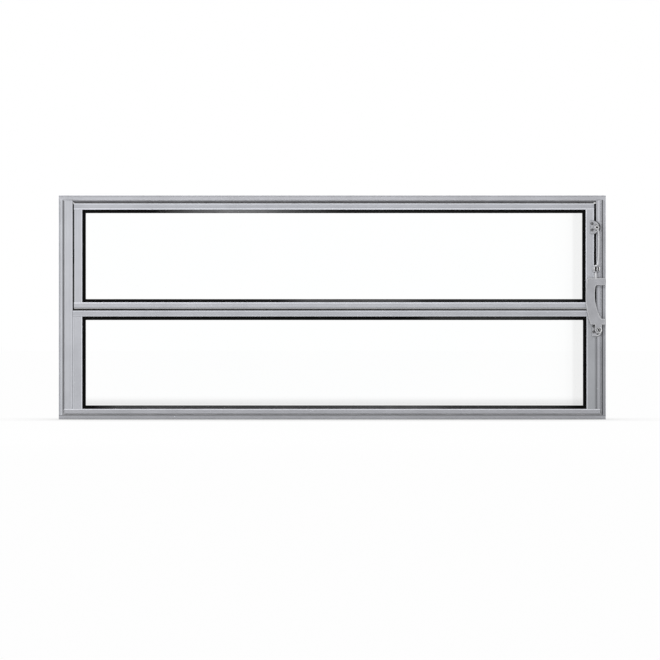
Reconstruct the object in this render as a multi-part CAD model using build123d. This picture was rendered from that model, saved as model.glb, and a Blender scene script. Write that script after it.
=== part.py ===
"""Aluminium pivot window: a tipping upper sash over a fixed lower light.

The room is on the -Y side, outdoors on +Y, and +Z is up. The origin is the middle of the
back face of the sill flange, which lies on the wall at y = 0. All lengths are millimetres.
"""
from build123d import *
import os

# Body of the frame
BODY_WIDTH = 1000.0
BODY_HEIGHT = 400.0
FRAME_DEPTH = 25.0
WALL = 1.5
EDGE_RADIUS = 0.8

# Wall flange and the groove beside it
FLANGE_REACH = 8.0
FLANGE_THICK = 1.6
FLANGE_LIP = 1.0
GROOVE_WIDTH = 2.5
GROOVE_DEPTH = 0.6

# Widths of the frame's faces as seen from the room
LEFT_JAMB_FACE = 18.0
RIGHT_JAMB_FACE = 10.0
SILL_FACE = 11.5
HEAD_FACE = 5.0
JAMB_PROUD = 4.0
HEAD_RECESS = 4.0
SILL_SLOPE = 3.0
WEEP_LENGTH = 24.0
WEEP_HEIGHT = 2.0
WEEP_FROM_JAMB = 150.0

# Bars of the sash and of the fixed light
BAR_PROUD = 5.0
BAR_DEPTH = 18.0
STILE_FACE = 15.4
RAIL_FACE = 11.5
TRANSOM_TOP = 194.5
LEFT_SIDE_GAP = 2.5
RIGHT_SIDE_GAP = 4.0
SASH_TOP_GAP = 2.0
SASH_BOTTOM_GAP = 3.5

# Glass and its gasket
GLASS_THICK = 4.0
GASKET_LIP = 1.8
GASKET_SHOWS = 5.5
GASKET_FLOOR = 1.5
GASKET_WEDGE = 1.2
POCKET_DEPTH = 6.5
POCKET_PLAY = 0.3

# Side pivots of the sash
PIN_RADIUS = 3.0
PIN_PLAY = 0.05
PIN_GRIP = 5.5
WASHER_RADIUS = 6.0
PIVOT_DEPTH = 4.0

# Weather seals in the gaps round the sash
SEAL_CLEAR = 0.5
SEAL_FRONT = -1.0
SEAL_DEPTH = 7.0
HEAD_SEAL_FRONT = 6.0
HEAD_SEAL_DEPTH = 6.0

# The two D-shaped tabs, measured from the right jamb's inner side
TAB_RADIUS = 12.0
TAB_THICK = 2.5
TAB_OVER_JAMB = 7.5
TAB_OVER_STILE = 10.5
SASH_TAB_DROP = 44.4
LEVER_TAB_DROP = 25.0
LEVER_TAB_SHIFT = 3.0
TAB_PIN_OVER_JAMB = 1.0
TAB_PIN_RADIUS = 2.5
TAB_PIN_HEAD_RADIUS = 3.1
TAB_PIN_HEAD_THICK = 1.5
TAB_PIN_COLLAR_RADIUS = 4.0
TAB_EDGE_BEVEL = 0.6

# Link rod and the slotted shackle at its foot
LINK_PLAY = 0.4
ROD_RADIUS = 2.0
EYE_RADIUS = 6.3
EYE_THICK = 4.4
EYE_BEVEL = 0.6
EYE_RECESS_RADIUS = 4.2
EYE_RECESS_DEPTH = 1.0
SHACKLE_OVER_STILE = 0.8
SHACKLE_RADIUS = 7.0
SHACKLE_THICK = 5.0
SHACKLE_SLOT_LENGTH = 9.5
SHACKLE_SLOT_WIDTH = 2.5
STUB_RADIUS = 2.0
STUB_SHOWS = 10.2
STUB_GRIP = 6.0

# Lever: top arm, crescent grip and foot
LEVER_THICK = 6.0
LEVER_TOP_RISE = 96.5
LEVER_OVER_JAMB = 16.0
LEVER_ARM_HEIGHT = 13.5
LEVER_TOP_OVER_STILE = 16.4
LEVER_BELLY_OVER_STILE = 19.7
LEVER_BELLY_RISE = 56.0
LEVER_HEEL_OVER_STILE = 10.5
LEVER_THROAT_OVER_STILE = 1.0
LEVER_HOLLOW_OVER_STILE = 2.2
LEVER_TIP_OVER_JAMB = 9.6
LEVER_FOOT_RISE = 10.0
LEVER_FOOT_HEIGHT = 11.0
LEVER_CORNER_RADIUS = 3.0
LEVER_END_RADIUS = 1.2
LEVER_EDGE_BEVEL = 0.8
LEVER_EAR_RADIUS = 6.5

# Levels and sides worked out from the sizes above
body_bottom = FLANGE_REACH / 2
body_top = body_bottom + BODY_HEIGHT
left_out = -BODY_WIDTH / 2
right_out = BODY_WIDTH / 2
left_in = left_out + LEFT_JAMB_FACE
right_in = right_out - RIGHT_JAMB_FACE
sill_top = body_bottom + SILL_FACE
transom_top = body_bottom + TRANSOM_TOP
transom_bottom = transom_top - RAIL_FACE
sash_bottom = transom_top + SASH_BOTTOM_GAP
sash_top = body_top - HEAD_FACE - SASH_TOP_GAP
sash_left = left_in + LEFT_SIDE_GAP
sash_right = right_in - RIGHT_SIDE_GAP
opening_middle = (left_in + right_in) / 2
pivot_z = (sash_bottom + sash_top) / 2
fixed_stile_face = LEFT_SIDE_GAP + STILE_FACE
groove_floor = GROOVE_DEPTH - FLANGE_THICK
pocket_front = WALL - BAR_PROUD
pocket_back = pocket_front + GLASS_THICK + 2 * GASKET_LIP
bar_back = BAR_DEPTH - BAR_PROUD
tab_front = BAR_PROUD + TAB_THICK
lever_back = tab_front + LINK_PLAY
link_middle = lever_back + LEVER_THICK / 2
tab_pin_x = right_in + TAB_PIN_OVER_JAMB
lever_pin_x = tab_pin_x + LEVER_TAB_SHIFT
sash_pin_z = sash_top - SASH_TAB_DROP
lever_pin_z = transom_bottom - LEVER_TAB_DROP
shackle_x = right_in - SHACKLE_OVER_STILE
lever_top = lever_pin_z + LEVER_TOP_RISE
shackle_z = lever_top + STUB_SHOWS + SHACKLE_RADIUS


def strip(u0, v0, u1, v1):
    """Rectangle of a section between two corners, each given as (inward, depth)."""
    return Pos((u0 + u1) / 2, (v0 + v1) / 2) * Rectangle(u1 - u0, v1 - v0)


def block(x0, x1, y0, y1, z0, z1):
    """Box between the low and high values of each axis."""
    middle = Pos((x0 + x1) / 2, (y0 + y1) / 2, (z0 + z1) / 2)
    return middle * Box(x1 - x0, y1 - y0, z1 - z0)


def room_edges_rounded(section, depth):
    """Section with the corners on its room side rounded."""
    corners = [v for v in section.vertices() if abs(v.Y - depth) < 1e-6]
    return fillet(corners, EDGE_RADIUS)


def member(section, middle, inward, length):
    """Bar centred on middle, its section drawn as (inward, depth)."""
    inward = Vector(*inward)
    plane = Plane(origin=middle, x_dir=inward, z_dir=inward.cross(Vector(0, 1, 0)))
    return extrude(plane * section, amount=length / 2, both=True)


def flange_section():
    """Flat wall flange with a small lip along its outer edge."""
    flat = strip(-FLANGE_REACH, -FLANGE_THICK, 0, 0)
    lip_front = -FLANGE_THICK - FLANGE_LIP
    lip = strip(-FLANGE_REACH, lip_front, FLANGE_THICK - FLANGE_REACH, -FLANGE_THICK)
    return flat + lip


def bar_section(face):
    """Hollow bar with a glazing pocket along its inner side."""
    pocket_floor = face - POCKET_DEPTH
    outline = room_edges_rounded(strip(0, -BAR_PROUD, face, bar_back), -BAR_PROUD)
    outline -= strip(pocket_floor, pocket_front, face, pocket_back)
    outline -= strip(WALL, pocket_front, pocket_floor - WALL, bar_back - WALL)
    outline -= strip(pocket_floor, pocket_back + WALL, face - WALL, bar_back - WALL)
    return outline


def pivot_bore(side_x):
    """Cutter for a pin hole through the wall at one side, along X."""
    start = Plane(origin=(side_x, PIVOT_DEPTH, pivot_z), z_dir=(1, 0, 0))
    return extrude(start * Circle(PIN_RADIUS + PIN_PLAY), amount=2 * WALL, both=True)


# Frame
def make_sill():
    inward = (0, 0, 1)
    base = (0, 0, body_bottom)
    pocket_floor = SILL_FACE - POCKET_DEPTH
    raised = strip(GROOVE_WIDTH, -BAR_PROUD, SILL_FACE, groove_floor)
    raised = room_edges_rounded(raised, -BAR_PROUD)
    sill = member(flange_section(), base, inward, BODY_WIDTH + 2 * FLANGE_REACH)
    sill += member(strip(0, groove_floor, SILL_FACE, FRAME_DEPTH), base, inward, BODY_WIDTH)
    sill += member(raised, base, inward, BODY_WIDTH - 2 * GROOVE_WIDTH)
    hollows = strip(pocket_floor, pocket_front, SILL_FACE, pocket_back)
    hollows += strip(WALL, WALL, pocket_floor - WALL, FRAME_DEPTH - WALL)
    hollows += sill_back_chamber()
    sill -= member(hollows, base, inward, BODY_WIDTH)
    return sill - sill_slope() - weep(left_in + WEEP_FROM_JAMB) - weep(right_in - WEEP_FROM_JAMB)


def sill_back_chamber():
    """Chamber behind the glass pocket, its roof one wall under the outside fall."""
    floor = SILL_FACE - POCKET_DEPTH
    roof = SILL_FACE - WALL
    back = FRAME_DEPTH - WALL
    roof_at_back = roof - SILL_SLOPE * (back - bar_back) / (FRAME_DEPTH - bar_back)
    outline = Polyline(
        (floor, pocket_back + WALL),
        (roof, pocket_back + WALL),
        (roof, bar_back),
        (roof_at_back, back),
        (floor, back),
        close=True,
    )
    return make_face(outline)


def sill_slope():
    """Cutter for the fall of the sill's outer edge, between the jambs."""
    fall = Polyline(
        (SILL_FACE, bar_back),
        (SILL_FACE, FRAME_DEPTH),
        (SILL_FACE - SILL_SLOPE, FRAME_DEPTH),
        close=True,
    )
    middle = (opening_middle, 0, body_bottom)
    return member(make_face(fall), middle, (0, 0, 1), right_in - left_in)


def weep(x):
    """Cutter for a drain slot through the sill's outer wall, at its back chamber's floor."""
    low = body_bottom + SILL_FACE - POCKET_DEPTH
    half = WEEP_LENGTH / 2
    return block(x - half, x + half, FRAME_DEPTH - WALL, FRAME_DEPTH, low, low + WEEP_HEIGHT)


def make_head():
    inward = (0, 0, -1)
    base = (0, 0, body_top)
    between = (opening_middle, 0, body_top)
    tube = strip(0, HEAD_RECESS, HEAD_FACE, FRAME_DEPTH)
    tube -= strip(WALL, HEAD_RECESS + WALL, HEAD_FACE - WALL, FRAME_DEPTH - WALL)
    head = member(flange_section(), base, inward, BODY_WIDTH + 2 * FLANGE_REACH)
    head += member(strip(0, groove_floor, WALL, FRAME_DEPTH), base, inward, BODY_WIDTH)
    head += member(tube, between, inward, right_in - left_in)
    return head


def make_jamb(side, face):
    inward = (-side, 0, 0)
    outer_x = side * BODY_WIDTH / 2
    body_high = body_top - WALL
    raised = strip(GROOVE_WIDTH, -JAMB_PROUD, face, groove_floor)
    raised = room_edges_rounded(raised, -JAMB_PROUD)
    section = strip(0, groove_floor, face, FRAME_DEPTH) + raised
    section -= strip(WALL, WALL, face - WALL, FRAME_DEPTH - WALL)
    section -= strip(GROOVE_WIDTH + WALL, WALL - JAMB_PROUD, face - WALL, WALL)
    flange_middle = (outer_x, 0, (body_bottom + body_top) / 2)
    body_middle = (outer_x, 0, (sill_top + body_high) / 2)
    jamb = member(flange_section(), flange_middle, inward, BODY_HEIGHT)
    jamb += member(section, body_middle, inward, body_high - sill_top)
    return jamb - pivot_bore(outer_x - side * face)


# Bars of the fixed light and of the sash
def level_bar(z, inward_z, x0, x1):
    return member(bar_section(RAIL_FACE), ((x0 + x1) / 2, 0, z), (0, 0, inward_z), x1 - x0)


def upright_bar(face, x, inward_x, z0, z1):
    return member(bar_section(face), (x, 0, (z0 + z1) / 2), (inward_x, 0, 0), z1 - z0)


def sash_stile(x, inward_x):
    low = sash_bottom + RAIL_FACE
    high = sash_top - RAIL_FACE
    return upright_bar(STILE_FACE, x, inward_x, low, high) - pivot_bore(x)


# Glass with the gasket that grips its edge
def glazing(x0, x1, z0, z1):
    seat = POCKET_DEPTH - POCKET_PLAY
    bite = seat - GASKET_FLOOR
    glass_front = pocket_front + GASKET_LIP
    glass_back = glass_front + GLASS_THICK
    pane = block(x0 - bite, x1 + bite, glass_front, glass_back, z0 - bite, z1 + bite)
    ring = block(x0 - seat, x1 + seat, pocket_front, pocket_back, z0 - seat, z1 + seat)
    sight_x = (x0 + GASKET_SHOWS, x1 - GASKET_SHOWS)
    sight_z = (z0 + GASKET_SHOWS, z1 - GASKET_SHOWS)
    ring -= block(*sight_x, pocket_front, pocket_back, *sight_z)
    by_depth = ring.faces().sort_by(Axis.Y)
    sight_edges = by_depth[0].inner_wires()[0].edges() + by_depth[-1].inner_wires()[0].edges()
    return pane, chamfer(sight_edges, GASKET_WEDGE) - pane


# Side pivots
def pivot_pin(side, jamb_x, stile_x):
    jamb_end = jamb_x + side * PIN_GRIP
    stile_end = stile_x - side * PIN_GRIP
    start = Plane(origin=(stile_end, PIVOT_DEPTH, pivot_z), z_dir=(side, 0, 0))
    return extrude(start * Circle(PIN_RADIUS), amount=abs(jamb_end - stile_end))


def pivot_washer(side, stile_x, gap):
    start = Plane(origin=(stile_x, PIVOT_DEPTH, pivot_z), z_dir=(side, 0, 0))
    ring = Circle(WASHER_RADIUS) - Circle(PIN_RADIUS + PIN_PLAY)
    return extrude(start * ring, amount=gap)


# Weather seals, seated on the frame and just clear of the sash
def side_seal(jamb_x, inward_x, gap):
    edge = jamb_x + inward_x * (gap - SEAL_CLEAR)
    x0 = min(jamb_x, edge)
    x1 = max(jamb_x, edge)
    y1 = SEAL_FRONT + SEAL_DEPTH
    washer_room = WASHER_RADIUS + SEAL_CLEAR
    lower = block(x0, x1, SEAL_FRONT, y1, sash_bottom, pivot_z - washer_room)
    upper = block(x0, x1, SEAL_FRONT, y1, pivot_z + washer_room, sash_top)
    return Compound(children=[lower, upper])


def head_seal():
    high = body_top - HEAD_FACE
    low = high - SASH_TOP_GAP + SEAL_CLEAR
    y1 = HEAD_SEAL_FRONT + HEAD_SEAL_DEPTH
    return block(sash_left, sash_right, HEAD_SEAL_FRONT, y1, low, high)


def transom_seal():
    high = sash_bottom - SEAL_CLEAR
    y1 = SEAL_FRONT + SEAL_DEPTH
    return block(sash_left, sash_right, SEAL_FRONT, y1, transom_top, high)


# Tabs, pins, link rod and lever, drawn as (x, z) and raised towards the room
def raised_piece(outline, proud, thick):
    return extrude(Plane.XZ.offset(proud) * outline, amount=thick)


def disc(x, z, radius, proud, thick):
    return raised_piece(Pos(x, z) * Circle(radius), proud, thick)


def bevelled(piece, size):
    """Piece with a small bevel round its room-side face."""
    return chamfer(piece.faces().sort_by(Axis.Y)[0].edges(), size)


def eye_cut(pin_x, pin_z, back, thick):
    """Cutter for a pin hole with a recess round the pin's head."""
    hole = disc(pin_x, pin_z, TAB_PIN_RADIUS + PIN_PLAY, back, thick)
    floor = back + thick - EYE_RECESS_DEPTH
    return hole + disc(pin_x, pin_z, EYE_RECESS_RADIUS, floor, EYE_RECESS_DEPTH)


def tab(pin_z, shift):
    """D-shaped plate, straight on the stile and round over the jamb."""
    low = pin_z - TAB_RADIUS
    high = pin_z + TAB_RADIUS
    straight_x = right_in - TAB_OVER_STILE + shift
    tip_x = right_in + TAB_OVER_JAMB + shift
    round_x = tip_x - TAB_RADIUS
    outline = strip(straight_x, low, round_x, high) + Pos(round_x, pin_z) * Circle(TAB_RADIUS)
    outline &= strip(straight_x, low, tip_x, high)
    plate = bevelled(raised_piece(outline, BAR_PROUD, TAB_THICK), TAB_EDGE_BEVEL)
    hole_radius = TAB_PIN_RADIUS + PIN_PLAY
    return plate - disc(tab_pin_x + shift, pin_z, hole_radius, BAR_PROUD, TAB_THICK)


def tab_pin(pin_x, pin_z, piece_back, piece_thick):
    """Pin through a tab and the piece on it, its head in that piece's recess."""
    head_back = piece_back + piece_thick - EYE_RECESS_DEPTH + LINK_PLAY
    pin = disc(pin_x, pin_z, TAB_PIN_RADIUS, BAR_PROUD, head_back - BAR_PROUD)
    head = disc(pin_x, pin_z, TAB_PIN_HEAD_RADIUS, head_back, TAB_PIN_HEAD_THICK)
    pin += bevelled(head, TAB_PIN_HEAD_THICK / 3)
    collar = piece_back - LINK_PLAY - tab_front
    if collar > 0:
        pin += disc(pin_x, pin_z, TAB_PIN_COLLAR_RADIUS, tab_front, collar)
    return pin


def rod_line(radius):
    """Straight round bar from the tab's pin down to the top of the shackle's slot."""
    top = Vector(tab_pin_x, -link_middle, sash_pin_z)
    foot = Vector(shackle_x, -link_middle, shackle_z + SHACKLE_SLOT_LENGTH / 2)
    run = foot - top
    return extrude(Plane(origin=top, z_dir=run) * Circle(radius), amount=run.length)


def make_link_rod():
    eye_back = link_middle - EYE_THICK / 2
    eye = bevelled(disc(tab_pin_x, sash_pin_z, EYE_RADIUS, eye_back, EYE_THICK), EYE_BEVEL)
    rod = rod_line(ROD_RADIUS) + eye
    return rod - eye_cut(tab_pin_x, sash_pin_z, eye_back, EYE_THICK)


def stub(radius):
    """Upright stub from the shackle down into the lever's top arm."""
    foot = lever_top - STUB_GRIP
    start = Plane(origin=(shackle_x, -link_middle, foot), z_dir=(0, 0, 1))
    high = shackle_z - SHACKLE_SLOT_LENGTH / 2
    return extrude(start * Circle(radius), amount=high - foot)


def make_shackle():
    back = link_middle - SHACKLE_THICK / 2
    outline = Pos(shackle_x, shackle_z) * Circle(SHACKLE_RADIUS)
    slot = SlotOverall(SHACKLE_SLOT_LENGTH, SHACKLE_SLOT_WIDTH, rotation=90)
    slot = raised_piece(Pos(shackle_x, shackle_z) * slot, lever_back, LEVER_THICK)
    shackle = raised_piece(outline, back, SHACKLE_THICK) + stub(STUB_RADIUS)
    return shackle - slot - rod_line(ROD_RADIUS + PIN_PLAY)


def rounded_at(outline, place, radius):
    """Outline with its corner nearest the place rounded."""
    corner = outline.vertices().sort_by_distance(Vector(*place))[0]
    return fillet(corner, radius)


def lever_outline():
    """Top arm, crescent grip with a curved belly and hollow, and foot."""
    right = right_in + LEVER_OVER_JAMB
    arm_low = lever_top - LEVER_ARM_HEIGHT
    belly_z = lever_pin_z + LEVER_BELLY_RISE
    foot_low = lever_pin_z + LEVER_FOOT_RISE
    foot_high = foot_low + LEVER_FOOT_HEIGHT
    top_left = (right_in - LEVER_TOP_OVER_STILE, lever_top)
    top_right = (right, lever_top)
    arm_right = (right, arm_low)
    throat = (right_in - LEVER_THROAT_OVER_STILE, arm_low)
    hollow = (right_in - LEVER_HOLLOW_OVER_STILE, belly_z)
    tip = (right_in + LEVER_TIP_OVER_JAMB, foot_high)
    foot_right = (right, foot_high)
    foot_end = (right, foot_low)
    heel = (right_in - LEVER_HEEL_OVER_STILE, foot_low)
    belly = (right_in - LEVER_BELLY_OVER_STILE, belly_z)
    outline = make_face(
        Polyline(top_left, top_right, arm_right, throat)
        + ThreePointArc(throat, hollow, tip)
        + Polyline(tip, foot_right, foot_end, heel)
        + ThreePointArc(heel, belly, top_left)
    )
    for place in (top_left, throat, heel):
        outline = rounded_at(outline, place, LEVER_CORNER_RADIUS)
    for place in (top_right, arm_right, foot_right, foot_end):
        outline = rounded_at(outline, place, LEVER_END_RADIUS)
    return outline


def make_lever():
    foot_middle = lever_pin_z + LEVER_FOOT_RISE + LEVER_FOOT_HEIGHT / 2
    ear_left = lever_pin_x - LEVER_EAR_RADIUS
    ear_right = lever_pin_x + LEVER_EAR_RADIUS
    outline = lever_outline() + strip(ear_left, lever_pin_z, ear_right, foot_middle)
    outline += Pos(lever_pin_x, lever_pin_z) * Circle(LEVER_EAR_RADIUS)
    lever = bevelled(raised_piece(outline, lever_back, LEVER_THICK), LEVER_EDGE_BEVEL)
    lever -= eye_cut(lever_pin_x, lever_pin_z, lever_back, LEVER_THICK)
    return lever - stub(STUB_RADIUS + PIN_PLAY)


fixed_glass, fixed_gasket = glazing(
    left_in + fixed_stile_face, right_in - fixed_stile_face, sill_top, transom_bottom
)
sash_glass, sash_gasket = glazing(
    sash_left + STILE_FACE,
    sash_right - STILE_FACE,
    sash_bottom + RAIL_FACE,
    sash_top - RAIL_FACE,
)

nodes = {
    "frame_head": make_head(),
    "frame_sill": make_sill(),
    "frame_jamb_left": make_jamb(-1, LEFT_JAMB_FACE),
    "frame_jamb_right": make_jamb(1, RIGHT_JAMB_FACE),
    "transom": level_bar(transom_top, -1, left_in, right_in),
    "fixed_stile_left": upright_bar(fixed_stile_face, left_in, 1, sill_top, transom_bottom),
    "fixed_stile_right": upright_bar(fixed_stile_face, right_in, -1, sill_top, transom_bottom),
    "fixed_gasket": fixed_gasket,
    "fixed_glass": fixed_glass,
    "sash_top_rail": level_bar(sash_top, -1, sash_left, sash_right),
    "sash_bottom_rail": level_bar(sash_bottom, 1, sash_left, sash_right),
    "sash_stile_left": sash_stile(sash_left, 1),
    "sash_stile_right": sash_stile(sash_right, -1),
    "sash_gasket": sash_gasket,
    "sash_glass": sash_glass,
    "pivot_pin_left": pivot_pin(-1, left_in, sash_left),
    "pivot_pin_right": pivot_pin(1, right_in, sash_right),
    "pivot_washer_left": pivot_washer(-1, sash_left, LEFT_SIDE_GAP),
    "pivot_washer_right": pivot_washer(1, sash_right, RIGHT_SIDE_GAP),
    "weather_seal_head": head_seal(),
    "weather_seal_left": side_seal(left_in, 1, LEFT_SIDE_GAP),
    "weather_seal_right": side_seal(right_in, -1, RIGHT_SIDE_GAP),
    "weather_seal_transom": transom_seal(),
    "sash_bracket": tab(sash_pin_z, 0),
    "sash_bracket_pin": tab_pin(tab_pin_x, sash_pin_z, link_middle - EYE_THICK / 2, EYE_THICK),
    "link_rod": make_link_rod(),
    "rod_shackle": make_shackle(),
    "lever": make_lever(),
    "lever_bracket": tab(lever_pin_z, LEVER_TAB_SHIFT),
    "lever_pin": tab_pin(lever_pin_x, lever_pin_z, lever_back, LEVER_THICK),
}

os.makedirs("parts", exist_ok=True)
for name, solid in nodes.items():
    export_step(solid, f"parts/{name}.step")
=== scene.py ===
import math
import bmesh
import bpy
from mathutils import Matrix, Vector


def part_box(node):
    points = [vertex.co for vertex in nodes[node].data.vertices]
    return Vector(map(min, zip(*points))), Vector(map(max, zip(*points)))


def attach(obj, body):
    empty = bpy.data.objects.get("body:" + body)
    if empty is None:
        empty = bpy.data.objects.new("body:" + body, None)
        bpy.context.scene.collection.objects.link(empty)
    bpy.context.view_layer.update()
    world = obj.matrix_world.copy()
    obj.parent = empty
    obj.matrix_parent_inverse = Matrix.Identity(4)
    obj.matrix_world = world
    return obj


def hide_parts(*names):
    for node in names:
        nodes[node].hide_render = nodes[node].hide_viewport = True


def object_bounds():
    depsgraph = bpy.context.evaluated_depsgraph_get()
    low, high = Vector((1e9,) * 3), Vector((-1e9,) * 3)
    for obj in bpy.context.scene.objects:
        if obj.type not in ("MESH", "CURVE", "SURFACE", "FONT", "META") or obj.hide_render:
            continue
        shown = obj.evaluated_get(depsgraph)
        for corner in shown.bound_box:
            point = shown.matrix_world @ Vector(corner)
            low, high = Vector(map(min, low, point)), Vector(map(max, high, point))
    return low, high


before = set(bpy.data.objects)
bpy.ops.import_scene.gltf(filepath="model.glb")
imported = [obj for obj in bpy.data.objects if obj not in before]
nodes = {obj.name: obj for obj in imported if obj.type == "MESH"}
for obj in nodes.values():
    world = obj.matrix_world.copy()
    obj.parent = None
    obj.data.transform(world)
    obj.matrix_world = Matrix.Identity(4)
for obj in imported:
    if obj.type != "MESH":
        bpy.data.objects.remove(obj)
cad_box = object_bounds()
scene = bpy.context.scene

# Lengths are in metres in the row frame. Stops along a piece are in millimetres.
MM_PER_M = 1000

# Noise
EVEN = (1.0, 1.0, 1.0)
NOISE_ROUGHNESS = 0.55
NOISE_SPAN = (0.3, 0.7)
DIE_LINES_ALONG = 3.0
DIE_LINES_ACROSS = 900.0

# Painted edge highlights, painted shade in nooks, grooves and bores, gasket sheen and rubber
EDGE_AND_NOOK_SAMPLES = 6
EDGE_SPAN = (0.995, 0.85)
NOOK_SPAN = (0.25, 0.85)
NOOK_SHADE = ((0.03, 0.03, 0.032), (0.07, 0.07, 0.072))
BAR_HIGHLIGHT_RADIUS = 0.0009
BAR_HIGHLIGHT_GAIN = 1.55
CAST_REACH = 0.0035
BRIGHTEST = 0.95
GROOVE_FLOOR_Y = -0.001
GROOVE_MARGIN = 0.0003
BORE_SHADE = (0.006, 0.006, 0.007)
GASKET_SHEEN = ((0.17, 0.17, 0.175), (0.23, 0.23, 0.235))
RUBBER_LEVEL = 0.0015


# Nodes that the materials share
def noise(tree, scale, detail, stretch=EVEN):
    """Noise in the row frame, whose coordinates are stretched by a factor along each axis."""
    coord = tree.nodes.new("ShaderNodeTexCoord")
    mapping = tree.nodes.new("ShaderNodeMapping")
    mapping.inputs["Scale"].default_value = stretch
    tree.links.new(coord.outputs["Object"], mapping.inputs["Vector"])
    node = tree.nodes.new("ShaderNodeTexNoise")
    node.inputs["Scale"].default_value = scale
    node.inputs["Detail"].default_value = detail
    node.inputs["Roughness"].default_value = NOISE_ROUGHNESS
    tree.links.new(mapping.outputs["Vector"], node.inputs["Vector"])
    return node.outputs["Fac"]


def map_range(tree, value, from_span, to_span=(0.0, 1.0)):
    node = tree.nodes.new("ShaderNodeMapRange")
    sockets = ("From Min", "From Max", "To Min", "To Max")
    for socket, number in zip(sockets, (*from_span, *to_span)):
        node.inputs[socket].default_value = number
    tree.links.new(value, node.inputs["Value"])
    return node.outputs["Result"]


def spread(tree, value, low, high):
    """A noise's usual range, spread from low to high."""
    return map_range(tree, value, NOISE_SPAN, (low, high))


def ramp(tree, value, dark, light):
    """A noise's usual range as a colour between dark and light."""
    node = tree.nodes.new("ShaderNodeValToRGB")
    for element, position, colour in zip(node.color_ramp.elements, NOISE_SPAN, (dark, light)):
        element.position = position
        element.color = (*colour, 1)
    tree.links.new(value, node.inputs["Fac"])
    return node.outputs["Color"]


def calculate(tree, operation, first, second, margin=None):
    """Math node on a socket and on a number or another socket."""
    node = tree.nodes.new("ShaderNodeMath")
    node.operation = operation
    tree.links.new(first, node.inputs[0])
    if isinstance(second, float):
        node.inputs[1].default_value = second
    else:
        tree.links.new(second, node.inputs[1])
    if margin is not None:
        node.inputs[2].default_value = margin
    return node.outputs[0]


def mix(tree, factor, first, second):
    """Mixes a colour with another, which is a socket or a plain colour."""
    node = tree.nodes.new("ShaderNodeMix")
    node.data_type = "RGBA"
    tree.links.new(factor, node.inputs["Factor"])
    tree.links.new(first, node.inputs["A"])
    if isinstance(second, tuple):
        node.inputs["B"].default_value = (*second, 1)
    else:
        tree.links.new(second, node.inputs["B"])
    return node.outputs["Result"]


def bump(tree, shader, height, distance, strength):
    node = tree.nodes.new("ShaderNodeBump")
    node.inputs["Strength"].default_value = strength
    node.inputs["Distance"].default_value = distance
    tree.links.new(height, node.inputs["Height"])
    tree.links.new(node.outputs["Normal"], shader.inputs["Normal"])


def row_axes(tree):
    """The x, y and z of a point in the row frame, as sockets."""
    coord = tree.nodes.new("ShaderNodeTexCoord")
    parts = tree.nodes.new("ShaderNodeSeparateXYZ")
    tree.links.new(coord.outputs["Object"], parts.inputs[0])
    return parts.outputs


def levels_along(tree, position, start, end, stops):
    """Grey level from start to end, from (place in mm, level) pairs."""
    first, last = stops[0][0], stops[-1][0]
    node = tree.nodes.new("ShaderNodeValToRGB")
    elements = node.color_ramp.elements
    elements[0].position = 0
    elements[1].position = 1
    for element, level in ((elements[0], stops[0][1]), (elements[1], stops[-1][1])):
        element.color = (level, level, level, 1)
    for at, level in stops[1:-1]:
        element = elements.new((at - first) / (last - first))
        element.color = (level, level, level, 1)
    tree.links.new(map_range(tree, position, (start, end)), node.inputs["Fac"])
    return node.outputs["Color"]


def scaled(colour, gain):
    return tuple(gain * channel for channel in colour)


def brightened(colour, gain):
    return tuple(min(BRIGHTEST, channel) for channel in scaled(colour, gain))


# Materials
def new_material(name):
    material = bpy.data.materials.new(name)
    material.use_nodes = True
    tree = material.node_tree
    tree.nodes.clear()
    out = tree.nodes.new("ShaderNodeOutputMaterial")
    shader = tree.nodes.new("ShaderNodeBsdfPrincipled")
    tree.links.new(shader.outputs[0], out.inputs["Surface"])
    return material, tree, shader


def coloured(material):
    """A material's tree, its shader's colour input, and the socket that feeds it now."""
    tree = material.node_tree
    shader = next(n for n in tree.nodes if n.type == "BSDF_PRINCIPLED")
    base = shader.inputs["Base Color"]
    return tree, base, base.links[0].from_socket


def highlight_edges_shade_nooks(tree, colour, radius, highlight, reach):
    """Colour brightened along outer edges by a painted highlight, and darkened by painted
    shade where surfaces meet.
    """
    geometry = tree.nodes.new("ShaderNodeNewGeometry")
    softened = tree.nodes.new("ShaderNodeBevel")
    softened.samples = EDGE_AND_NOOK_SAMPLES
    softened.inputs["Radius"].default_value = radius
    same = tree.nodes.new("ShaderNodeVectorMath")
    same.operation = "DOT_PRODUCT"
    tree.links.new(geometry.outputs["Normal"], same.inputs[0])
    tree.links.new(softened.outputs["Normal"], same.inputs[1])
    edge = map_range(tree, same.outputs["Value"], EDGE_SPAN)
    patchy = noise(tree, 55.0, 4.0)
    uneven = calculate(tree, "MULTIPLY", edge, spread(tree, patchy, 0.45, 1.0))
    highlighted = mix(tree, uneven, colour, highlight)
    nook = tree.nodes.new("ShaderNodeAmbientOcclusion")
    nook.samples = EDGE_AND_NOOK_SAMPLES
    nook.inputs["Distance"].default_value = reach
    tree.links.new(highlighted, nook.inputs["Color"])
    deep = map_range(tree, nook.outputs["AO"], NOOK_SPAN)
    return mix(tree, deep, ramp(tree, patchy, *NOOK_SHADE), highlighted)


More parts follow.
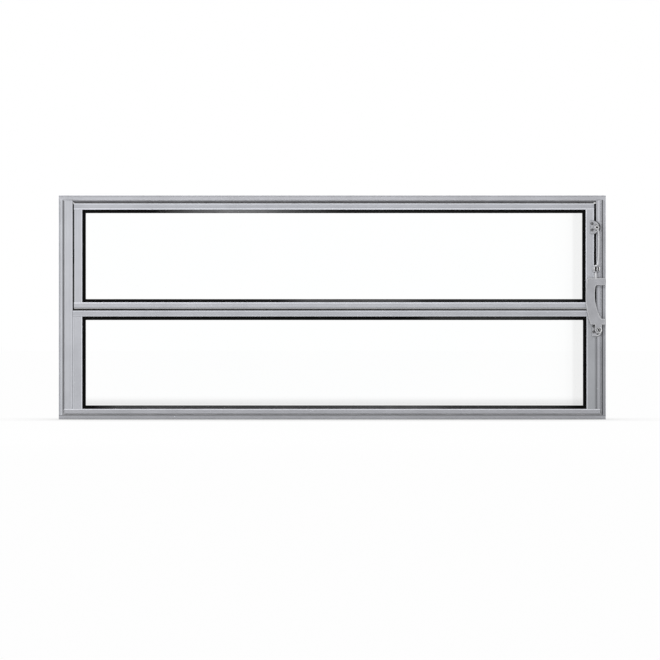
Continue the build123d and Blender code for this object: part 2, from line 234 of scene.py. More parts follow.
def extruded(name, run, dark, light, reach=0.003):
    """Bare extruded metal: die lines along the bar, soft cloudy oxide and dust."""
    material, tree, shader = new_material(name)
    stretch = [DIE_LINES_ACROSS] * 3
    stretch["XYZ".index(run)] = DIE_LINES_ALONG
    lines = noise(tree, 1.0, 3.0, stretch)
    cloud = noise(tree, 14.0, 5.0)
    speck = noise(tree, 420.0, 2.0)
    metal = mix(tree, speck, ramp(tree, lines, dark, light), ramp(tree, cloud, dark, light))
    # Painted highlights on the outer edges, and painted shade in the nooks within reach
    colour = highlight_edges_shade_nooks(tree, metal, BAR_HIGHLIGHT_RADIUS, brightened(light, BAR_HIGHLIGHT_GAIN), reach)
    tree.links.new(colour, shader.inputs["Base Color"])
    tree.links.new(spread(tree, cloud, 0.34, 0.5), shader.inputs["Roughness"])
    shader.inputs["Metallic"].default_value = 0.5
    bump(tree, shader, lines, 0.00004, 0.3)
    return material


def shaded_recess(material, depth_start, depth_end, dark):
    """Painted shade on a member's recessed, outdoor part, darker with depth, which leaves its
    face clean.
    """
    tree, base, face_colour = coloured(material)
    depth = map_range(tree, row_axes(tree)["Y"], (depth_start, depth_end))
    shade_colour = ramp(tree, noise(tree, 40.0, 4.0), dark, scaled(dark, 1.35))
    tree.links.new(mix(tree, depth, face_colour, shade_colour), base)


def shaded_groove_floor(material, dark):
    """Painted shade on the floor of the groove beside a member's wall flange."""
    tree, base, face_colour = coloured(material)
    on_floor = calculate(tree, "COMPARE", row_axes(tree)["Y"], GROOVE_FLOOR_Y, GROOVE_MARGIN)
    shade_colour = ramp(tree, noise(tree, 40.0, 4.0), dark, scaled(dark, 1.4))
    tree.links.new(mix(tree, on_floor, face_colour, shade_colour), base)


def banded(material, axis, start, stops):
    """Multiplies the colour by gains at distances in mm from start, along one axis."""
    tree, base, face_colour = coloured(material)
    end = start + stops[-1][0] / MM_PER_M
    halved = [(away, gain / 2) for away, gain in stops]
    bands = levels_along(tree, row_axes(tree)[axis], start, end, halved)
    toned = tree.nodes.new("ShaderNodeVectorMath")
    toned.operation = "SCALE"
    tree.links.new(face_colour, toned.inputs[0])
    tree.links.new(calculate(tree, "MULTIPLY", bands, 2.0), toned.inputs["Scale"])
    tree.links.new(toned.outputs["Vector"], base)
    return material


def lipped(name, node, run, dark, light, ends=(1.45, 1.45), edges=(None, None)):
    """Bar metal whose rolled lips take a gain each, above one a painted highlight and below
    one painted shade, with a fine painted shadow line inside each.

    An edge gain darkens the outermost millimetre with painted shade from the gap beside it.
    """
    low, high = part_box(node)
    across = 2 if run == "X" else 0
    width = (high[across] - low[across]) * MM_PER_M
    first, last = (edge or lip for edge, lip in zip(edges, ends))
    stops = [
        (0.0, first), (1.0, first), (1.3, ends[0]), (2.0, ends[0]), (2.6, 0.86), (3.2, 1.0),
        (width - 3.2, 1.0), (width - 2.6, 0.86), (width - 2.0, ends[1]),
        (width - 1.3, ends[1]), (width - 1.0, last), (width, last),
    ]
    return banded(extruded(name, run, dark, light), "XYZ"[across], low[across], stops)


def painted_bore_shade(material, at_x, at_z, radius):
    """Painted shade: a black disc that stands for the dark bore in the end of a tubular pin,
    seen from the room.
    """
    tree, base, face_colour = coloured(material)
    parts = row_axes(tree)
    flat = tree.nodes.new("ShaderNodeCombineXYZ")
    tree.links.new(parts["X"], flat.inputs["X"])
    tree.links.new(parts["Z"], flat.inputs["Z"])
    away = tree.nodes.new("ShaderNodeVectorMath")
    away.operation = "DISTANCE"
    away.inputs[1].default_value = (at_x, 0.0, at_z)
    tree.links.new(flat.outputs[0], away.inputs[0])
    inside = calculate(tree, "LESS_THAN", away.outputs["Value"], radius)
    tree.links.new(mix(tree, inside, face_colour, BORE_SHADE), base)
    return material


def cast(name, dark, light, roughness=(0.3, 0.46), highlight_radius=0.001, highlight_gain=1.5):
    """Tumbled cast metal: fine pitting and slow colour change."""
    material, tree, shader = new_material(name)
    pits = noise(tree, 900.0, 3.0)
    metal = ramp(tree, noise(tree, 60.0, 4.0), dark, light)
    # Painted highlights on the outer edges, and painted shade in the nooks within CAST_REACH
    colour = highlight_edges_shade_nooks(tree, metal, highlight_radius, brightened(light, highlight_gain), CAST_REACH)
    tree.links.new(colour, shader.inputs["Base Color"])
    tree.links.new(spread(tree, pits, *roughness), shader.inputs["Roughness"])
    shader.inputs["Metallic"].default_value = 0.6
    bump(tree, shader, pits, 0.00002, 0.25)
    return material


def soft_black(name, level):
    """Black rubber with a fine skin and a trace of dust."""
    material, tree, shader = new_material(name)
    skin = noise(tree, 700.0, 3.0)
    dusty = (level * 2.2, level * 2.2, level * 2.1)
    colour = ramp(tree, noise(tree, 25.0, 4.0), (level, level, level), dusty)
    tree.links.new(colour, shader.inputs["Base Color"])
    tree.links.new(spread(tree, skin, 0.55, 0.75), shader.inputs["Roughness"])
    shader.inputs["Specular IOR Level"].default_value = 0.04
    bump(tree, shader, skin, 0.00004, 0.4)
    return material


def sheen_along_run(tree, across, stops):
    """Amount of painted sheen along one run, from (x in mm, amount) pairs."""
    start, end = stops[0][0] / MM_PER_M, stops[-1][0] / MM_PER_M
    return levels_along(tree, across, start, end, stops)


def sheen_painted_black(name, low_run, top_run, between):
    """Black rubber with a mottled grey sheen painted on its lower and upper runs, which the
    height between parts.
    """
    material = soft_black(name, RUBBER_LEVEL)
    tree, base, black = coloured(material)
    parts = row_axes(tree)
    upper = calculate(tree, "GREATER_THAN", parts["Z"], between)
    amount = mix(tree, upper, sheen_along_run(tree, parts["X"], low_run),
                 sheen_along_run(tree, parts["X"], top_run))
    # The grey that the amount lays on is a painted sheen, mottled by noise
    dust = ramp(tree, noise(tree, 30.0, 4.0), *GASKET_SHEEN)
    tree.links.new(mix(tree, amount, black, dust), base)
    return material


def clear_glass(name):
    """Float glass: faint green, with a hardly visible film."""
    material, tree, shader = new_material(name)
    film = noise(tree, 6.0, 3.0)
    tint = ramp(tree, film, (0.99, 0.998, 0.997), (0.998, 1.0, 1.0))
    tree.links.new(tint, shader.inputs["Base Color"])
    tree.links.new(spread(tree, film, 0.0, 0.015), shader.inputs["Roughness"])
    shader.inputs["Transmission Weight"].default_value = 1.0
    shader.inputs["IOR"].default_value = 1.5
    return material


def middle_of(node):
    """The x and z of the middle of a solid's box."""
    low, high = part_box(node)
    return (low[0] + high[0]) / 2, (low[2] + high[2]) / 2


bar_dark = (0.41, 0.42, 0.45)
bar_light = (0.51, 0.52, 0.555)
transom_metal = lipped("transom_metal", "transom", "X", (0.38, 0.39, 0.42),
                       (0.475, 0.485, 0.52), (1.2, 1.55), (None, 0.75))
fixed_left_metal = lipped("fixed_left_metal", "fixed_stile_left", "Z", bar_dark, bar_light,
                          (1.1, 1.4))
# The right fixed stile is a darker copy of the bar metal, painting the shade far from the
# lamp; its right lip is darker too
fixed_right_shaded_metal = lipped("fixed_right_shaded_metal", "fixed_stile_right", "Z", (0.33, 0.34, 0.36),
                           (0.415, 0.425, 0.45), (1.5, 0.75))
top_rail_metal = lipped("top_rail_metal", "sash_top_rail", "X", (0.375, 0.385, 0.415),
                        (0.47, 0.48, 0.515), (1.7, 1.35))
bottom_rail_metal = lipped("bottom_rail_metal", "sash_bottom_rail", "X", bar_dark, bar_light,
                           (0.95, 1.5), (0.2, None))
sash_left_metal = lipped("sash_left_metal", "sash_stile_left", "Z", bar_dark, bar_light,
                         (1.3, 1.3), (0.4, None))
sash_right_metal = lipped("sash_right_metal", "sash_stile_right", "Z", bar_dark, bar_light)

# Left jamb, near the lamp: flange, groove and the painted shade line beside it, face, and a
# painted highlight on the corner
jamb_near = extruded("jamb_metal_near", "Z", (0.43, 0.44, 0.47), (0.53, 0.54, 0.575))
shaded_groove_floor(jamb_near, (0.12, 0.12, 0.127))
banded(jamb_near, "X", -0.508, [
    (0.0, 0.88), (2.8, 0.9), (4.2, 1.1), (5.7, 1.08), (6.3, 0.55), (7.9, 0.6), (8.4, 1.0),
    (10.5, 1.0), (11.5, 0.96), (23.4, 0.98), (24.3, 1.14), (26.0, 1.14),
])

# Right jamb, far from the lamp: a darker copy of the jamb metal that paints its shade, with
# painted shade out to 7 mm round the lever work; a painted highlight on the face, the groove
# painted lighter, the painted shadow line beside the groove on the flange, and the lower part
# darker
jamb_far_shaded = extruded("jamb_metal_far_shaded", "Z", (0.285, 0.29, 0.31), (0.355, 0.36, 0.385), 0.007)
banded(jamb_far_shaded, "X", 0.49, [
    (0.0, 1.1), (1.2, 1.05), (2.8, 1.1), (3.6, 1.45), (6.0, 1.45), (6.9, 1.2), (7.6, 1.8),
    (9.9, 1.8), (10.5, 0.27), (12.6, 0.27), (13.2, 1.15), (18.0, 1.2),
])
banded(jamb_far_shaded, "Z", 0.02, [(0.0, 0.86), (110, 0.86), (170, 1.16), (385, 1.16)])

# Sill: a painted highlight on the lip under the lower pane, and a painted shade line under the
# groove
sill_metal = extruded("sill_metal", "X", (0.36, 0.365, 0.39), (0.45, 0.455, 0.485))
shaded_groove_floor(sill_metal, (0.28, 0.28, 0.29))
banded(sill_metal, "Z", 0.0105, [(0.0, 1.0), (2.7, 0.95), (3.4, 1.65), (5.0, 1.65)])
banded(sill_metal, "Z", -0.004, [
    (0.0, 0.97), (5.8, 0.97), (6.3, 0.58), (8.0, 0.58), (8.3, 1.0), (9.0, 1.0),
])

# Head: painted shade on its recessed part, darker with depth
head_metal = extruded("head_metal", "X", (0.4, 0.405, 0.43), (0.5, 0.505, 0.54))
shaded_recess(head_metal, 0.002, 0.004, (0.155, 0.155, 0.163))

# The lever's edges get a wider and brighter painted highlight
lever_metal = cast("lever_metal", (0.345, 0.35, 0.37), (0.415, 0.42, 0.445),
                   highlight_radius=0.0026, highlight_gain=2.3)
tab_metal = cast("tab_metal", (0.36, 0.365, 0.385), (0.46, 0.465, 0.49))
# Bright metal whose lightness paints highlights: on the rims, the sash pin's ring and the
# rod's foot rivet
rim_highlight_metal = cast("rim_highlight_metal", (0.74, 0.745, 0.76), (0.86, 0.865, 0.88))
pin_metal = cast("pin_metal", (0.5, 0.505, 0.52), (0.6, 0.605, 0.62), (0.3, 0.42))
shade_metal = cast("shade_metal", (0.03, 0.03, 0.032), (0.06, 0.06, 0.063), (0.5, 0.6))
rod_metal = cast("rod_metal", (0.48, 0.485, 0.505), (0.57, 0.575, 0.595), (0.42, 0.55))

# The two pins of the lever work: the rod's eye is on one, the lever's ear on the other
PIN_BORE_RADIUS = 0.0021
PIN_BORE_SHIFT = 0.0002
# The two pins are a brighter metal that paints their highlights; a black disc in each paints
# the shade in its bore
pin_dark = (0.66, 0.665, 0.68)
pin_light = (0.76, 0.765, 0.78)
eye_x, eye_z = middle_of("sash_bracket_pin")
ear_x, ear_z = middle_of("lever_pin")
sash_pin_metal = painted_bore_shade(cast("sash_pin_metal", pin_dark, pin_light),
                            eye_x + PIN_BORE_SHIFT, eye_z, PIN_BORE_RADIUS)
lever_pin_metal = painted_bore_shade(cast("lever_pin_metal", pin_dark, pin_light),
                             ear_x + PIN_BORE_SHIFT, ear_z, PIN_BORE_RADIUS)
rivet_metal = cast("rivet_metal", (0.1, 0.1, 0.105), (0.16, 0.16, 0.165))

sash_gasket_rubber = sheen_painted_black(
    "sash_gasket_rubber",
    [(-440, 0.0), (-170, 0.02), (-100, 0.05), (-40, 0.36), (130, 0.38), (170, 0.1),
     (420, 0.1), (460, 0.0)],
    [(-440, 0.0), (-330, 0.0), (-260, 0.45), (-190, 0.95), (-124, 0.75), (-60, 0.28),
     (20, 0.05), (460, 0.0)],
    0.3,
)
fixed_gasket_rubber = sheen_painted_black(
    "fixed_gasket_rubber",
    [(-445, 0.0), (-395, 0.28), (0, 0.3), (130, 0.42), (160, 0.5), (220, 0.24),
     (400, 0.15), (455, 0.0)],
    [(-445, 0.0), (150, 0.0), (200, 0.12), (395, 0.14), (455, 0.0)],
    0.1,
)
transom_seal_sheen = [(-480, 0.0), (-320, 0.02), (-240, 0.3), (-60, 0.2), (150, 0.35),
                     (300, 0.5), (485, 0.7)]
transom_seal_rubber = sheen_painted_black("transom_seal_rubber", transom_seal_sheen,
                                  transom_seal_sheen, 0.1)
seal_rubber = soft_black("seal_rubber", RUBBER_LEVEL)
head_seal_rubber = soft_black("head_seal_rubber", 0.05)
washer_nylon = soft_black("washer_nylon", 0.01)

# Panes: a painted reflection darkens them towards the lever side, and the lower one is darker
# at its foot
REFLECTION_FROM_X = 0.40
sash_pane_glass = clear_glass("sash_pane_glass")
banded(sash_pane_glass, "X", REFLECTION_FROM_X, [
    (0.0, 1.0), (30.0, 0.99), (44.0, 0.97), (49.0, 0.89), (63.0, 0.88),
])
fixed_pane_glass = clear_glass("fixed_pane_glass")
banded(fixed_pane_glass, "X", REFLECTION_FROM_X, [
    (0.0, 1.0), (30.0, 0.99), (44.0, 0.96), (49.0, 0.88), (63.0, 0.87),
])
banded(fixed_pane_glass, "Z", 0.0225, [
    (0.0, 0.88), (2.5, 0.82), (8.0, 0.88), (13.0, 0.97), (17.0, 1.0),
])

finishes = {
    "frame_head": head_metal,
    "frame_sill": sill_metal,
    "frame_jamb_left": jamb_near,
    "frame_jamb_right": jamb_far_shaded,
    "transom": transom_metal,
    "fixed_stile_left": fixed_left_metal,
    "fixed_stile_right": fixed_right_shaded_metal,
    "sash_top_rail": top_rail_metal,
    "sash_bottom_rail": bottom_rail_metal,
    "sash_stile_left": sash_left_metal,
    "sash_stile_right": sash_right_metal,
    "fixed_gasket": fixed_gasket_rubber,
    "sash_gasket": sash_gasket_rubber,
    "fixed_glass": fixed_pane_glass,
    "sash_glass": sash_pane_glass,
    "pivot_pin_left": pin_metal,
    "pivot_pin_right": pin_metal,
    "pivot_washer_left": washer_nylon,
    "pivot_washer_right": washer_nylon,
    "weather_seal_head": head_seal_rubber,
    "weather_seal_left": seal_rubber,
    "weather_seal_right": seal_rubber,
    "weather_seal_transom": transom_seal_rubber,
    "sash_bracket": tab_metal,
    "sash_bracket_pin": sash_pin_metal,
    "link_rod": rod_metal,
    "rod_shackle": tab_metal,
    "lever": lever_metal,
    "lever_bracket": tab_metal,
    "lever_pin": lever_pin_metal,
}
for name, material in finishes.items():
    mesh = nodes[name].data
    mesh.materials.clear()
    mesh.materials.append(material)


# Pieces that the solids leave to the scene
OUTDOORS = Vector((0, 1, 0))
TURNED_STEPS = 32
BAR_STEPS = 20
CURVE_PARTS = 8
RIM_STEPS = 28
SHARP_ANGLE = math.radians(40)
RIVET_FROM_LEFT = 0.0029
LIP_RADIUS = 0.0008
LIP_INSET = 0.0002
SASH_FOOT_INSET = -0.0004


def add_turned(form, profile, centre):
    """Adds a profile of (radius, proud) turned about the room-facing axis at centre."""
    rings = []
    for radius, proud in profile:
        ring = []
        if radius == 0:
            ring.append(form.verts.new((centre[0], centre[1] - proud, centre[2])))
        else:
            for step in range(TURNED_STEPS):
                angle = 2 * math.pi * step / TURNED_STEPS
                x = centre[0] + radius * math.cos(angle)
                z = centre[2] + radius * math.sin(angle)
                ring.append(form.verts.new((x, centre[1] - proud, z)))
        rings.append(ring)
    for inner, outer in zip(rings, rings[1:]):
        for step in range(TURNED_STEPS):
            after = (step + 1) % TURNED_STEPS
            if len(inner) == 1:
                form.faces.new((inner[0], outer[step], outer[after]))
            elif len(outer) == 1:
                form.faces.new((inner[step], outer[0], inner[after]))
            else:
                form.faces.new((inner[step], outer[step], outer[after], inner[after]))


def add_bar(form, path, radii, steps=BAR_STEPS):
    """Adds a round bar along a path of points in one upright plane, tapered by radii."""
    rings = []
    last = len(path) - 1
    for index, point in enumerate(path):
        run = path[min(index + 1, last)] - path[max(index - 1, 0)]
        side = run.cross(OUTDOORS).normalized()
        ring = []
        for step in range(steps):
            angle = 2 * math.pi * step / steps
            reach = side * math.cos(angle) + OUTDOORS * math.sin(angle)
            ring.append(form.verts.new(point + reach * radii[index]))
        rings.append(ring)
    for first, second in zip(rings, rings[1:]):
        for step in range(steps):
            after = (step + 1) % steps
            form.faces.new((first[step], first[after], second[after], second[step]))
    form.faces.new(rings[0])
    form.faces.new(rings[-1])


def finished(name, form, material):
    """Turns a bmesh into a smooth piece that rides with the window."""
    bmesh.ops.recalc_face_normals(form, faces=form.faces)
    mesh = bpy.data.meshes.new(name)
    form.to_mesh(mesh)
    form.free()
    for face in mesh.polygons:
        face.use_smooth = True
    mesh.set_sharp_from_angle(angle=SHARP_ANGLE)
    mesh.materials.append(material)
    piece = bpy.data.objects.new(name, mesh)
    scene.collection.objects.link(piece)
    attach(piece, "root")
    return piece


def turned(name, profile, centre, material):
    form = bmesh.new()
    add_turned(form, profile, centre)
    return finished(name, form, material)


def bar(name, path, radii, material, steps=BAR_STEPS):
    form = bmesh.new()
    add_bar(form, path, radii, steps)
    return finished(name, form, material)


def smooth_path(points):
    """Points along a curve that passes through all the given ones."""
    padded = [points[0]] + list(points) + [points[-1]]
    path = []
    for a, b, c, d in zip(padded, padded[1:], padded[2:], padded[3:]):
        for part in range(CURVE_PARTS):
            t = part / CURVE_PARTS
            path.append(0.5 * (2 * b + (c - a) * t + (2 * a - 5 * b + 4 * c - d) * t * t
                               + (3 * b - a - 3 * c + d) * t ** 3))
    path.append(points[-1])
    return path


def rim(name, centre, radius, half, first, last, material):
    """Raised rib along an arc, thickest at its middle, sunk halfway into the face under it."""
    path = []
    radii = []
    for step in range(RIM_STEPS + 1):
        share = step / RIM_STEPS
        angle = math.radians(first + (last - first) * share)
        path.append(Vector((centre[0] + radius * math.cos(angle), centre[1],
                            centre[2] + radius * math.sin(angle))))
        radii.append(half * (0.25 + 0.75 * math.sin(math.pi * share)))
    bar(name, path, radii, material, 12)


def pin_ring(name, pin, front, material):
    """Thin ring that lies in the recess round a pin's head."""
    x, z = middle_of(pin)
    profile = [(0.00318, -0.0009), (0.00318, -0.0003), (0.0035, 0.0), (0.0039, 0.0),
               (0.00416, -0.0003), (0.00416, -0.0009), (0.00318, -0.0009)]
    turned(name, profile, (x, front, z), material)


def gasket_lip(name, gasket, pane, material, foot_inset):
    """Soft lip of a gasket that lies on the pane, all the way round its clear opening."""
    middle = middle_of(gasket)[1]
    spots = [vertex.co for vertex in nodes[gasket].data.vertices]
    left = max(spot.x for spot in spots if spot.x < 0) + LIP_INSET
    right = min(spot.x for spot in spots if spot.x > 0) - LIP_INSET
    foot = max(spot.z for spot in spots if spot.z < middle) + foot_inset
    head = min(spot.z for spot in spots if spot.z > middle) - LIP_INSET
    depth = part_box(pane)[0][1] - LIP_RADIUS / 4
    corners = [Vector((left, depth, foot)), Vector((right, depth, foot)),
               Vector((right, depth, head)), Vector((left, depth, head))]
    form = bmesh.new()
    for first, second in zip(corners, corners[1:] + corners[:1]):
        reach = (second - first).normalized() * LIP_RADIUS / 2
        add_bar(form, [first - reach, second + reach], [LIP_RADIUS, LIP_RADIUS], 10)
    finished(name, form, material)


def rivet(name, tab, up):
    """Blind rivet: a low dome with a punched-out middle, seated on a tab's face."""
    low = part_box(tab)[0]
    centre = (low[0] + RIVET_FROM_LEFT, low[1], middle_of(tab)[1] + up)
    profile = [
        (0, 0.0001), (0.0007, 0.0001), (0.0009, 0.0010), (0.0015, 0.0012),
        (0.0022, 0.0009), (0.0027, 0.0003), (0.0028, 0.0), (0, 0.0),
    ]
    turned(name, profile, centre, rivet_metal)


gasket_lip("sash_gasket_lip", "sash_gasket", "sash_glass", sash_gasket_rubber,
           SASH_FOOT_INSET)
gasket_lip("fixed_gasket_lip", "fixed_gasket", "fixed_glass", fixed_gasket_rubber, LIP_INSET)

rivet("sash_tab_rivet_upper", "sash_bracket", 0.0068)
rivet("sash_tab_rivet_lower", "sash_bracket", -0.0048)
rivet("lever_tab_rivet_upper", "lever_bracket", 0.0068)
rivet("lever_tab_rivet_lower", "lever_bracket", -0.0034)

# Link rod: an eye on the tab's pin, and a bar bent clear of the gap beside the sash
ROD_RADIUS = 0.0019
rod_low, rod_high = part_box("link_rod")
ring_low, ring_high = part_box("rod_shackle")
ring_x = middle_of("rod_shackle")[0]
ring_z = ring_high[2] - (ring_high[0] - ring_low[0]) / 2
rod_y = (rod_low[1] + rod_high[1]) / 2
eye_back = rod_high[1] - rod_y
eye_front = rod_y - rod_low[1]
form = bmesh.new()
add_turned(form, [
    (0.0026, -eye_back), (0.0045, -eye_back), (0.0050, 0.0005 - eye_back),
    (0.0050, eye_front - 0.0006), (0.0045, eye_front), (0.0043, eye_front),
    (0.0042, eye_front - 0.001), (0.0026, eye_front - 0.001), (0.0026, -eye_back),
], (eye_x, rod_y, eye_z))
bends = [
    Vector((eye_x + 0.0020, rod_y, eye_z - 0.0042)),
    Vector((eye_x + 0.0035, rod_y, eye_z - 0.0120)),
    Vector((eye_x + 0.0040, rod_y, eye_z - 0.0250)),
    Vector((eye_x + 0.0034, rod_y, eye_z - 0.0520)),
    Vector((ring_x + 0.0043, rod_y, ring_z + 0.0125)),
    Vector((ring_x + 0.0030, rod_y, ring_z + 0.0058)),
]
line = smooth_path(bends)
add_bar(form, line, [ROD_RADIUS] * len(line))
pull_rod = finished("bent_link_rod", form, rod_metal)
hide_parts("link_rod")

# Rings round the two pins, the sash's bright one a painted highlight and the lever's black one
# painted shade; bright rims painting highlights and dark ribs painting shadow lines on the
# tabs, the ear and the shackle
TAB_RADIUS = 0.012
lever_low, lever_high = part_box("lever")
lever_front = lever_low[1]
pin_ring("sash_pin_highlight_ring", "sash_bracket_pin", rod_low[1], rim_highlight_metal)
pin_ring("lever_pin_shade_ring", "lever_pin", lever_front, seal_rubber)
tab_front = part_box("sash_bracket")[0][1]
tab_round = (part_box("sash_bracket")[1][0] - TAB_RADIUS, tab_front, eye_z)
low_round = (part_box("lever_bracket")[1][0] - TAB_RADIUS, tab_front, ear_z)
ear_round = (ear_x, lever_front, ear_z)
ring_front = ring_low[1]
ring_face = (ring_x, ring_front, ring_z)
rim_round = (ring_x - 0.0018, ring_front, ring_z)
shade_round = (ring_x - 0.0040, ring_front, ring_z)
for name, centre, radius, half, first, last, material, slot in (
    ("sash_tab_highlight_rim", tab_round, 0.0094, 0.0012, -72, 72, rim_highlight_metal, "cast_metal"),
    ("sash_tab_shade", tab_round, 0.0115, 0.0009, -80, 80, shade_metal, "cast_metal"),
    ("lever_tab_highlight_rim", low_round, 0.0108, 0.0012, -85, 25, rim_highlight_metal, "cast_metal"),
    ("lever_tab_shade", low_round, 0.0090, 0.0007, -80, 10, shade_metal, "cast_metal"),
    ("lever_ear_highlight_rim", ear_round, 0.0056, 0.0009, -75, 60, rim_highlight_metal, "cast_metal"),
    ("shackle_highlight_rim", rim_round, 0.0084, 0.0009, -32, 32, rim_highlight_metal, "cast_metal"),
    ("shackle_shade", shade_round, 0.0090, 0.0011, -42, 42, shade_metal, "steel"),
    ("shackle_inner_highlight_rim", ring_face, 0.0027, 0.0009, -75, 75, rim_highlight_metal, "cast_metal"),
    ("shackle_left_highlight_rim", ring_face, 0.0032, 0.0009, 120, 240, rim_highlight_metal, "cast_metal"),
):
    rim(name, centre, radius, half, first, last, material)

# Shackle: a black lining in its slot that paints the slot's shade, a sleeve on its stub, and
# the rivet that holds the rod's foot, whose bright metal paints a glint
slot_top = Vector((ring_x, ring_front + 0.0001, ring_z + 0.0042))
slot_foot = Vector((ring_x, ring_front + 0.0001, ring_z - 0.0050))
slot_line = [slot_top, slot_top.lerp(slot_foot, 0.1), slot_top.lerp(slot_foot, 0.9), slot_foot]
bar("shackle_slot_shade", slot_line, [0.0011, 0.0014, 0.0014, 0.0011], seal_rubber)
lever_top = lever_high[2]
stub_line = [Vector((ring_x, rod_y, lever_top + rise))
             for rise in (-0.0005, 0.0005, 0.0040, 0.0095)]
bar("shackle_stub_sleeve", stub_line, [0.0029, 0.0031, 0.0030, 0.0027], rod_metal)
turned("rod_foot_rivet", [
    (0, 0.0007), (0.0008, 0.0006), (0.0014, 0.0003), (0.0018, -0.0006),
    (0.0018, -0.0022), (0, -0.0022),
], (ring_x + 0.0002, ring_front, ring_z + 0.0055), rim_highlight_metal)

# Rubber plug that closes the lower left corner between the two seals
PLUG_DEPTH = 0.0045
corner_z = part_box("weather_seal_transom")[0][2]
side_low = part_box("weather_seal_left")[0]
plug = [Vector((side_low[0] + 0.0007, PLUG_DEPTH, corner_z)),
        Vector((side_low[0] + 0.0008, PLUG_DEPTH, corner_z + 0.0008)),
        Vector((side_low[0] + 0.0008, PLUG_DEPTH, side_low[2] + 0.0010))]
bar("corner_plug_left", plug, [0.0014, 0.0016, 0.0014], seal_rubber)

BAFFLE_DEPTH = 0.0115
BAFFLE_HALF = 0.013
BAFFLE_FULL_HALF = 0.012
BAFFLE_END = 0.7


def baffle(name, washer, gap, radius):
    """Rubber strip behind a pivot washer, so that no light shows past it."""
    middle = middle_of(washer)[1]
    heights = (-BAFFLE_HALF, -BAFFLE_FULL_HALF, BAFFLE_FULL_HALF, BAFFLE_HALF)
    line = [Vector((gap, BAFFLE_DEPTH, middle + height)) for height in heights]
    end = BAFFLE_END * radius
    bar(name, line, [end, radius, radius, end], seal_rubber, 12)


stile_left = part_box("sash_stile_left")[0][0]
stile_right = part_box("sash_stile_right")[1][0]
baffle("pivot_baffle_left", "pivot_washer_left", stile_left - 0.00125, 0.00122)
baffle("pivot_baffle_right", "pivot_washer_right", stile_right + 0.002, 0.00196)


def thin_bevel(node, width):
    """Small rounded edges on a carried-over solid, so its edges catch the light."""
    modifier = nodes[node].modifiers.new("edge", "BEVEL")
    modifier.width = width
    modifier.segments = 2
    modifier.limit_method = "ANGLE"
    modifier.angle_limit = math.radians(50)


for name in ("sash_bracket", "lever_bracket", "rod_shackle"):
    thin_bevel(name, 0.0003)
thin_bevel("lever", 0.0006)


# Floor and backdrop
FLOOR_HALF = 40
FLOOR_WHITE = 0.98
SHADOW_REACH = 0.3
WHITE = (1, 1, 1, 1)


def white_surround(tree):
    """One where the camera, a reflection or the glass looks at the surround, else zero."""
    path = tree.nodes.new("ShaderNodeLightPath").outputs
    seen = calculate(tree, "MAXIMUM", path["Is Camera Ray"], path["Is Glossy Ray"])
    return calculate(tree, "MAXIMUM", seen, path["Is Transmission Ray"])


def surround(tree, output, share, lit, seen):
    """Sends the surround's lit shader and its seen one to the output, mixed by share."""
    blend = tree.nodes.new("ShaderNodeMixShader")
    for socket, source in zip(blend.inputs, (share, lit, seen)):
        tree.links.new(source, socket)
    out = tree.nodes.new(output)
    tree.links.new(blend.outputs[0], out.inputs["Surface"])


floor_mesh = bpy.data.meshes.new("floor")
floor_z = cad_box[0][2]
floor_mesh.from_pydata(
    [(-FLOOR_HALF, -FLOOR_HALF, floor_z), (FLOOR_HALF, -FLOOR_HALF, floor_z),
     (FLOOR_HALF, FLOOR_HALF, floor_z), (-FLOOR_HALF, FLOOR_HALF, floor_z)],
    [], [(0, 1, 2, 3)],
)
floor = bpy.data.objects.new("floor", floor_mesh)
scene.collection.objects.link(floor)
floor_material = bpy.data.materials.new("floor_white")
floor_material.use_nodes = True
tree = floor_material.node_tree
tree.nodes.clear()
diffuse = tree.nodes.new("ShaderNodeBsdfDiffuse")
diffuse.inputs["Color"].default_value = (0.86, 0.86, 0.86, 1)
near = tree.nodes.new("ShaderNodeAmbientOcclusion")
near.samples = 12
near.inputs["Distance"].default_value = SHADOW_REACH
glow = tree.nodes.new("ShaderNodeEmission")
soft_shadow = map_range(tree, near.outputs["AO"], (0.5, 0.98), (0.62, 1.0))
tree.links.new(soft_shadow, glow.inputs["Strength"])
floor_share = calculate(tree, "MULTIPLY", white_surround(tree), FLOOR_WHITE)
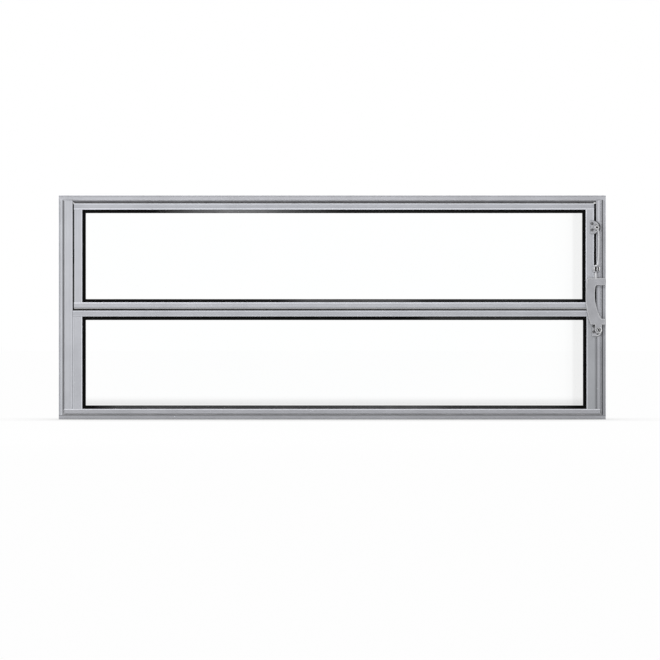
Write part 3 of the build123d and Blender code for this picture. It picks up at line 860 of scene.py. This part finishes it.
surround(tree, "ShaderNodeOutputMaterial", floor_share, diffuse.outputs[0], glow.outputs[0])
floor_mesh.materials.append(floor_material)

# World: light that fades from the left to the right, seen as plain white
world = bpy.data.worlds.new("plain")
scene.world = world
world.use_nodes = True
tree = world.node_tree
tree.nodes.clear()
plain = tree.nodes.new("ShaderNodeBackground")
plain.inputs["Color"].default_value = WHITE
toward = tree.nodes.new("ShaderNodeTexCoord")
direction = tree.nodes.new("ShaderNodeSeparateXYZ")
tree.links.new(toward.outputs["Generated"], direction.inputs[0])
level = map_range(tree, direction.outputs["X"], (-1.0, 1.0), (0.95, 0.12))
tree.links.new(level, plain.inputs["Strength"])
white = tree.nodes.new("ShaderNodeBackground")
white.inputs["Color"].default_value = WHITE
white.inputs["Strength"].default_value = 1.0
surround(tree, "ShaderNodeOutputWorld", white_surround(tree), plain.outputs[0],
         white.outputs[0])


# Lamps and camera
def lamp(name, place_at, look_at, size, power):
    data = bpy.data.lights.new(name, "AREA")
    data.shape = "RECTANGLE"
    data.size, data.size_y = size
    data.energy = power
    holder = bpy.data.objects.new(name, data)
    scene.collection.objects.link(holder)
    holder.location = place_at
    run = Vector(look_at) - Vector(place_at)
    holder.rotation_euler = run.to_track_quat("-Z", "Y").to_euler()


lamp("lamp_left", (-2.2, -2.2, 1.2), (0.1, 0, 0.2), (0.5, 0.5), 29)
lamp("lamp_front", (-0.2, -2.6, 1.6), (0, 0, 0.2), (1.6, 1.0), 12)

CAMERA_DISTANCE = 12.0
PICTURE_WIDTH = 1.2256
SENSOR_WIDTH = 36.0
camera_data = bpy.data.cameras.new("camera")
camera_data.sensor_width = SENSOR_WIDTH
camera_data.lens = SENSOR_WIDTH * CAMERA_DISTANCE / PICTURE_WIDTH
camera_data.clip_end = 100
camera = bpy.data.objects.new("camera", camera_data)
scene.collection.objects.link(camera)
camera.location = (-0.0042, -CAMERA_DISTANCE - 0.004, 0.162)
camera.rotation_euler = (math.pi / 2, 0, 0)
bpy.context.scene.camera = camera

scene.view_settings.view_transform = "Standard"
